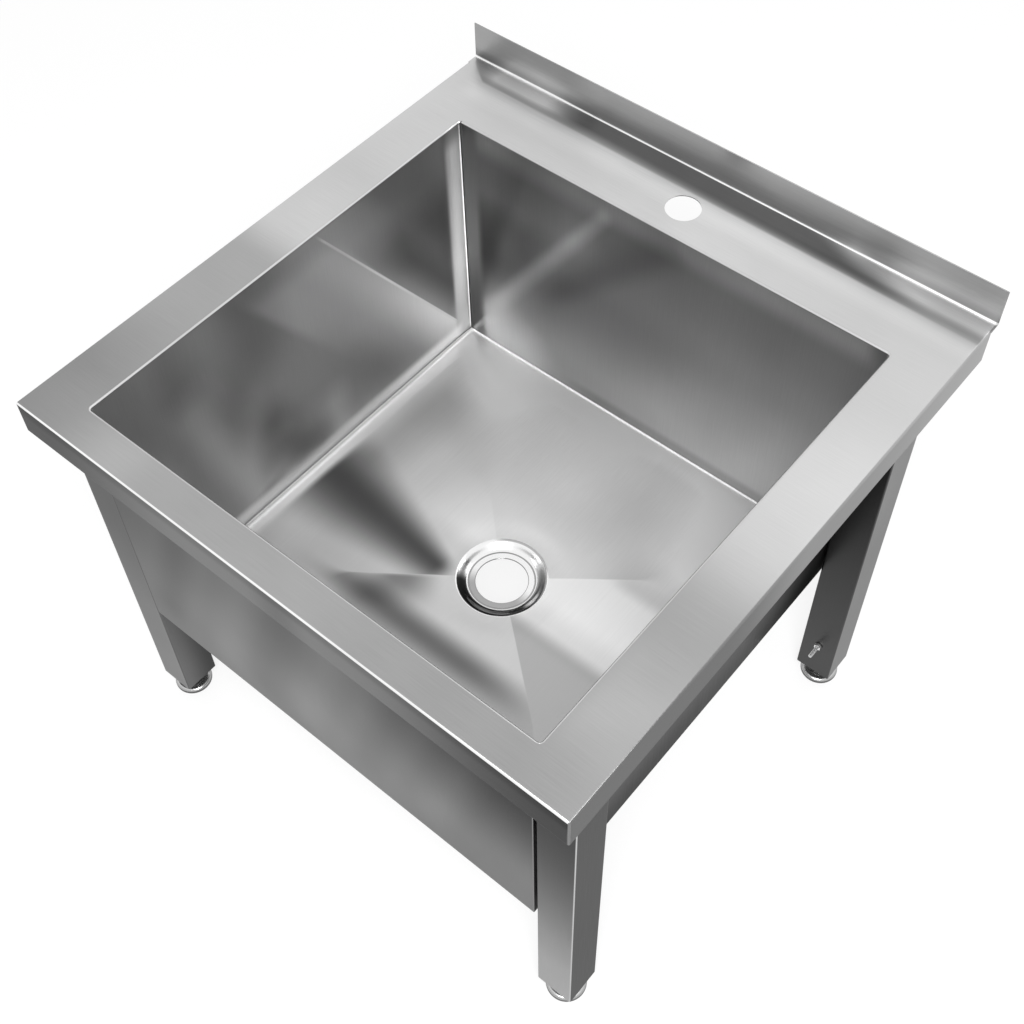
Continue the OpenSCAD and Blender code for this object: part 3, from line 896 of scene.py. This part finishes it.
def thread(radius, pitch, low, high, tip):
    # A closed threaded rod along Z from low to high, in mm; both ends are turned down by tip
    depth = threadForm["depth"] * pitch
    turns = math.ceil((high - low) / pitch) + 2
    start = low - pitch
    shape = bmesh.new()
    outline = [(radius - depth * (1 - out), start + pitch * along) for out, along in threadForm["profile"]]
    points = [shape.verts.new((across * mm, 0, height * mm)) for across, height in outline]
    edges = [shape.edges.new(pair) for pair in zip(points, points[1:])]
    climb = (0, 0, pitch * mm / threadForm["steps"])
    bmesh.ops.spin(shape, geom=points + edges, cent=(0, 0, 0), axis=(0, 0, 1), dvec=climb,
                   angle=fullTurn, steps=threadForm["steps"])
    turn = shape.verts[:] + shape.edges[:] + shape.faces[:]
    for i in range(1, turns):
        made = bmesh.ops.duplicate(shape, geom=turn)["geom"]
        moving = [item for item in made if isinstance(item, bmesh.types.BMVert)]
        bmesh.ops.translate(shape, verts=moving, vec=(0, 0, i * pitch * mm))
    bmesh.ops.remove_doubles(shape, verts=shape.verts, dist=merging)
    for height, outward in ((low, -1), (high, 1)):
        everything = shape.verts[:] + shape.edges[:] + shape.faces[:]
        bmesh.ops.bisect_plane(shape, geom=everything, plane_co=(0, 0, height * mm),
                               plane_no=(0, 0, outward), clear_outer=True)
    bmesh.ops.holes_fill(shape, edges=[edge for edge in shape.edges if edge.is_boundary])
    for vertex in shape.verts:
        inside = min(vertex.co.z - low * mm, high * mm - vertex.co.z)
        most = (radius - tip) * mm + inside
        across = math.hypot(vertex.co.x, vertex.co.y)
        if across > most:
            vertex.co.x *= most / across
            vertex.co.y *= most / across
    return facedOut(shape)


def lofted(rings, count):
    # Each ring is (reach, height): its radius at an angle, and its height at that radius, in mm
    def spotRing(reach, height):
        def spotOf(i):
            angle = fullTurn * i / count
            radius = reach(angle)
            return (radius * math.cos(angle) * mm, radius * math.sin(angle) * mm, height(radius) * mm)
        return spotOf

    return swept(count, [spotRing(reach, height) for reach, height in rings])


def constant(value):
    return lambda _: value


hexForm = {
    "around": 96,
    "flatShare": 0.96, "slope": 0.577,      # where the chamfer on the corners starts, and how steep it is
    "boreChamfer": 0.35,
}


def hexagon(flats):
    sixth = fullTurn / 6
    return lambda angle: flats / 2 / math.cos((angle - sixth / 2) % sixth - sixth / 2)


def chamfer(flats, height, direction):
    # The cone that rounds off a hexagon's corners
    start = flats / 2 * hexForm["flatShare"]
    return lambda radius: height - direction * max(radius - start, 0.0) * hexForm["slope"]


def hexRing(flats, bore, low, high):
    shape = hexagon(flats)
    inner = constant(flats / 2 * hexForm["flatShare"])
    step = hexForm["boreChamfer"]
    return lofted([
        (inner, constant(low)), (shape, chamfer(flats, low, -1)),
        (shape, chamfer(flats, high, 1)), (inner, constant(high)),
        (constant(bore + step), constant(high)), (constant(bore), constant(high - step)),
        (constant(bore), constant(low + step)), (constant(bore + step), constant(low)),
    ], hexForm["around"])


def roundedSquare(width, radius):
    corner = width / 2 - radius

    def reach(angle):
        u, v = abs(math.cos(angle)), abs(math.sin(angle))
        straight = width / 2 / max(u, v)
        if min(u, v) * straight <= corner:
            return straight
        along = corner * (u + v)
        return along + math.sqrt(max(along * along - 2 * corner * corner + radius * radius, 0.0))
    return reach


def joined(first, second):
    # Puts a second shape's mesh into the first
    mesh = bpy.data.meshes.new("part")
    second.to_mesh(mesh)
    second.free()
    first.from_mesh(mesh)
    bpy.data.meshes.remove(mesh)
    return first


foot = {                              # in mm
    "screwRadius": 4.97, "pitch": 1.5, "tip": 1.0, "clearance": 0.08,
    "hexFlats": 17.0, "hexBore": 4.3, "hexStart": 7.0, "hexTall": 6.0,
    "discAround": 96, "discEdge": 4.0, "discEdgeSteps": 12, "discFoot": 0.6,
    "seat": 9.6, "dish": 0.3,         # the flat under the hexagon, and how far the disc falls away from it
    "socket": 3, "socketChamfer": 0.3,
    "plugAround": 96, "plugCorner": 0.5, "plugBoreChamfer": 0.5,
    "plugLead": 0.6, "plugCollar": 3.5, "plugTop": 1.2,     # its bottom edge, its collar and its narrow top
    "ribs": 5, "ribDeep": 0.6, "ribStart": 4.0, "ribEnd": 2.0,
    "ribShape": (0.55, 0.65, 0.8),    # where a rib starts to swell, is full and ends, as shares of its room
}
screwBore = foot["screwRadius"] + foot["clearance"]


def footDisc(node):
    low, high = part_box(node)
    radius, top = (high.x - low.x) / 2 / mm, high.z / mm
    edge, under, step = foot["discEdge"], foot["discFoot"], foot["socketChamfer"]
    floor = top - foot["socket"]
    outline = [(screwBore, floor), (screwBore, top - step), (screwBore + step, top), (foot["seat"], top)]
    shoulder = top - foot["dish"] - edge
    for i in range(foot["discEdgeSteps"] + 1):
        angle = quarterTurn * i / foot["discEdgeSteps"]
        outline.append((radius - edge + edge * math.sin(angle), shoulder + edge * math.cos(angle)))
    outline += [(radius, under), (radius - under, 0.0), (0.0, 0.0), (0.0, floor)]
    return onAxisOf(node, spun(outline, foot["discAround"]))


def footScrew(node):
    low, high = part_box(node)
    rod = thread(foot["screwRadius"], foot["pitch"], low.z / mm, high.z / mm, foot["tip"])
    start = foot["hexStart"]
    grip = hexRing(foot["hexFlats"], foot["hexBore"], start, start + foot["hexTall"])
    return onAxisOf(node, joined(rod, grip))


def footPlug(node):
    low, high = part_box(node)
    width, base, top = (high.x - low.x) / mm, low.z / mm, high.z / mm
    corner, step = foot["plugCorner"], foot["plugBoreChamfer"]
    wide = roundedSquare(width, corner)
    slim = roundedSquare(width - 2 * foot["ribDeep"], corner)
    narrow = roundedSquare(width - 2 * foot["plugTop"], corner)
    bore, mouth = constant(screwBore), constant(screwBore + step)
    levels = [(slim, base), (wide, base + foot["plugLead"]), (wide, base + foot["plugCollar"])]
    room = (top - base - foot["ribStart"] - foot["ribEnd"]) / foot["ribs"]
    swell, full, done = foot["ribShape"]
    for i in range(foot["ribs"]):
        start = base + foot["ribStart"] + i * room
        levels += [(slim, start), (slim, start + room * swell)]
        levels += [(wide, start + room * full), (wide, start + room * done)]
    levels += [(narrow, top), (mouth, top), (bore, top - step), (bore, base + step), (mouth, base)]
    rings = [(reach, constant(height)) for reach, height in levels]
    return onAxisOf(node, lofted(rings, foot["plugAround"]))


for corner in ("front_left", "front_right", "back_left", "back_right"):
    words = "".join(word.capitalize() for word in corner.split("_"))
    disc, screw, plug = ("foot_" + kind + "_" + corner for kind in ("disc", "screw", "plug"))
    place("footDisc" + words, footDisc(disc), footSteel, "foot_" + corner, disc)
    place("footScrew" + words, footScrew(screw), screwSteel, "screw_" + corner, screw)
    place("footPlug" + words, footPlug(plug), blackPlastic, "frame", plug)
print("feet")


# The bonding stud, which points forward out of the leg

stud = {                              # in mm
    "radius": 1.98, "pitch": 0.7, "tip": 0.4,
    "nutBore": 2.03,
    "washerBore": 2.15, "washerRound": 0.15, "washerAround": 64,
}


def outOfLeg(shape):
    # Lays a shape drawn upwards along the stud
    low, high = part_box("bonding_stud")
    turned = Matrix.Rotation(quarterTurn, 4, "X")
    bmesh.ops.transform(shape, matrix=turned, verts=shape.verts)
    bmesh.ops.translate(shape, verts=shape.verts, vec=((low.x + high.x) / 2, high.y, (low.z + high.z) / 2))
    return shape


def studSizes(node):
    # How far out of the leg a piece on the stud starts and ends, and how wide and tall it is, in mm
    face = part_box("bonding_stud")[1].y
    low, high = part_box(node)
    return [size / mm for size in (face - high.y, face - low.y, high.x - low.x, high.z - low.z)]


start, end, _, _ = studSizes("bonding_stud")
rod = thread(stud["radius"], stud["pitch"], start, end, stud["tip"])
place("bondingStud", outOfLeg(rod), studSteel, "frame", "bonding_stud")

start, end, width, _ = studSizes("bonding_washer")
soft = stud["washerRound"]
outline = [(stud["washerBore"], start), (width / 2 - soft, start), (width / 2, start + soft),
           (width / 2, end - soft), (width / 2 - soft, end), (stud["washerBore"], end)]
washer = spun(outline, stud["washerAround"])
place("bondingWasher", outOfLeg(washer), studSteel, "frame", "bonding_washer")

start, end, width, height = studSizes("bonding_nut")
nut = hexRing(min(width, height), stud["nutBore"], start, end)
place("bondingNut", outOfLeg(nut), studSteel, "frame", "bonding_nut")
print("bonding stud")


# Floor, light and camera

studio = {
    "floorSize": 12.0,
    "floorDrop": 0.0002,      # how far it lies below the feet
    "floorShade": 0.9,
    "paleShare": 0.72,        # how much of the floor is plain white to the camera and in reflections
    "skyStrength": 0.85,
    "lamps": {                # power, width and place of each soft box
        "softBoxBehind": (5.0, 1.8, (0.1, 2.0, 2.4)),
        "softBoxByCamera": (36.0, 0.8, (0.8, -0.9, 1.95)),
    },
    "lampAim": (0.0, 0.0, 0.3),
    "lens": 51.81, "sensor": 36.0, "shift": (-0.0049, -0.0345),
    "cameraPlace": (0.5504, -0.6356, 1.4512), "cameraTurn": (37.043, 0.857, 39.730),
}


def paleRays(maker):
    # 1 for rays that come from the camera or from shiny steel
    seen = maker.node("ShaderNodeLightPath", {}, {}, "Is Camera Ray")
    outputs = seen.socket.node.outputs
    for name in ("Is Glossy Ray", "Is Transmission Ray"):
        seen = maker.math("MAXIMUM", seen, Wire(maker.tree, outputs[name]))
    return seen


def makeStudioFloor():
    material, shader, maker = newMaterial("studioFloorWhite")
    tree = material.node_tree
    tree.nodes.remove(shader)
    matt = maker.node("ShaderNodeBsdfDiffuse", {}, {"Color": (*(studio["floorShade"],) * 3, 1.0)})
    white = maker.node("ShaderNodeEmission", {}, {"Color": (1.0, 1.0, 1.0, 1.0), "Strength": 1.0})
    share = paleRays(maker) * studio["paleShare"]
    mixed = maker.node("ShaderNodeMixShader", {}, {0: share, 1: matt, 2: white})
    mixed.feed(tree.nodes["Material Output"].inputs["Surface"])
    shape = bmesh.new()
    bmesh.ops.create_grid(shape, x_segments=1, y_segments=1, size=studio["floorSize"] / 2)
    mesh = bpy.data.meshes.new("studioFloor")
    shape.to_mesh(mesh)
    shape.free()
    mesh.materials.append(material)
    plane = bpy.data.objects.new("studioFloor", mesh)
    plane.location.z = -studio["floorDrop"]
    bpy.context.scene.collection.objects.link(plane)


def makeWorld():
    world = bpy.data.worlds.new("studioSky")
    world.use_nodes = True
    bpy.context.scene.world = world
    background = world.node_tree.nodes["Background"]
    background.inputs["Color"].default_value = (1.0, 1.0, 1.0, 1.0)
    strength = paleRays(Wire(world.node_tree)) * (1.0 - studio["skyStrength"]) + studio["skyStrength"]
    strength.feed(background.inputs["Strength"])


def makeLamp(name, power, size, spot):
    data = bpy.data.lights.new(name, "AREA")
    data.shape = "DISK"
    data.size = size
    data.energy = power
    lamp = bpy.data.objects.new(name, data)
    lamp.location = spot
    aim = Vector(studio["lampAim"]) - Vector(spot)
    lamp.rotation_euler = aim.to_track_quat("-Z", "Y").to_euler()
    bpy.context.scene.collection.objects.link(lamp)


def makeCamera():
    data = bpy.data.cameras.new("photoCamera")
    data.lens = studio["lens"]
    data.sensor_width = studio["sensor"]
    data.shift_x, data.shift_y = studio["shift"]
    camera = bpy.data.objects.new("photoCamera", data)
    camera.location = studio["cameraPlace"]
    camera.rotation_euler = [math.radians(turn) for turn in studio["cameraTurn"]]
    bpy.context.scene.collection.objects.link(camera)
    bpy.context.scene.camera = camera


makeStudioFloor()
makeWorld()
for name, (power, size, spot) in studio["lamps"].items():
    makeLamp(name, power, size, spot)
makeCamera()
bpy.context.scene.view_settings.view_transform = "Standard"
print("studio")
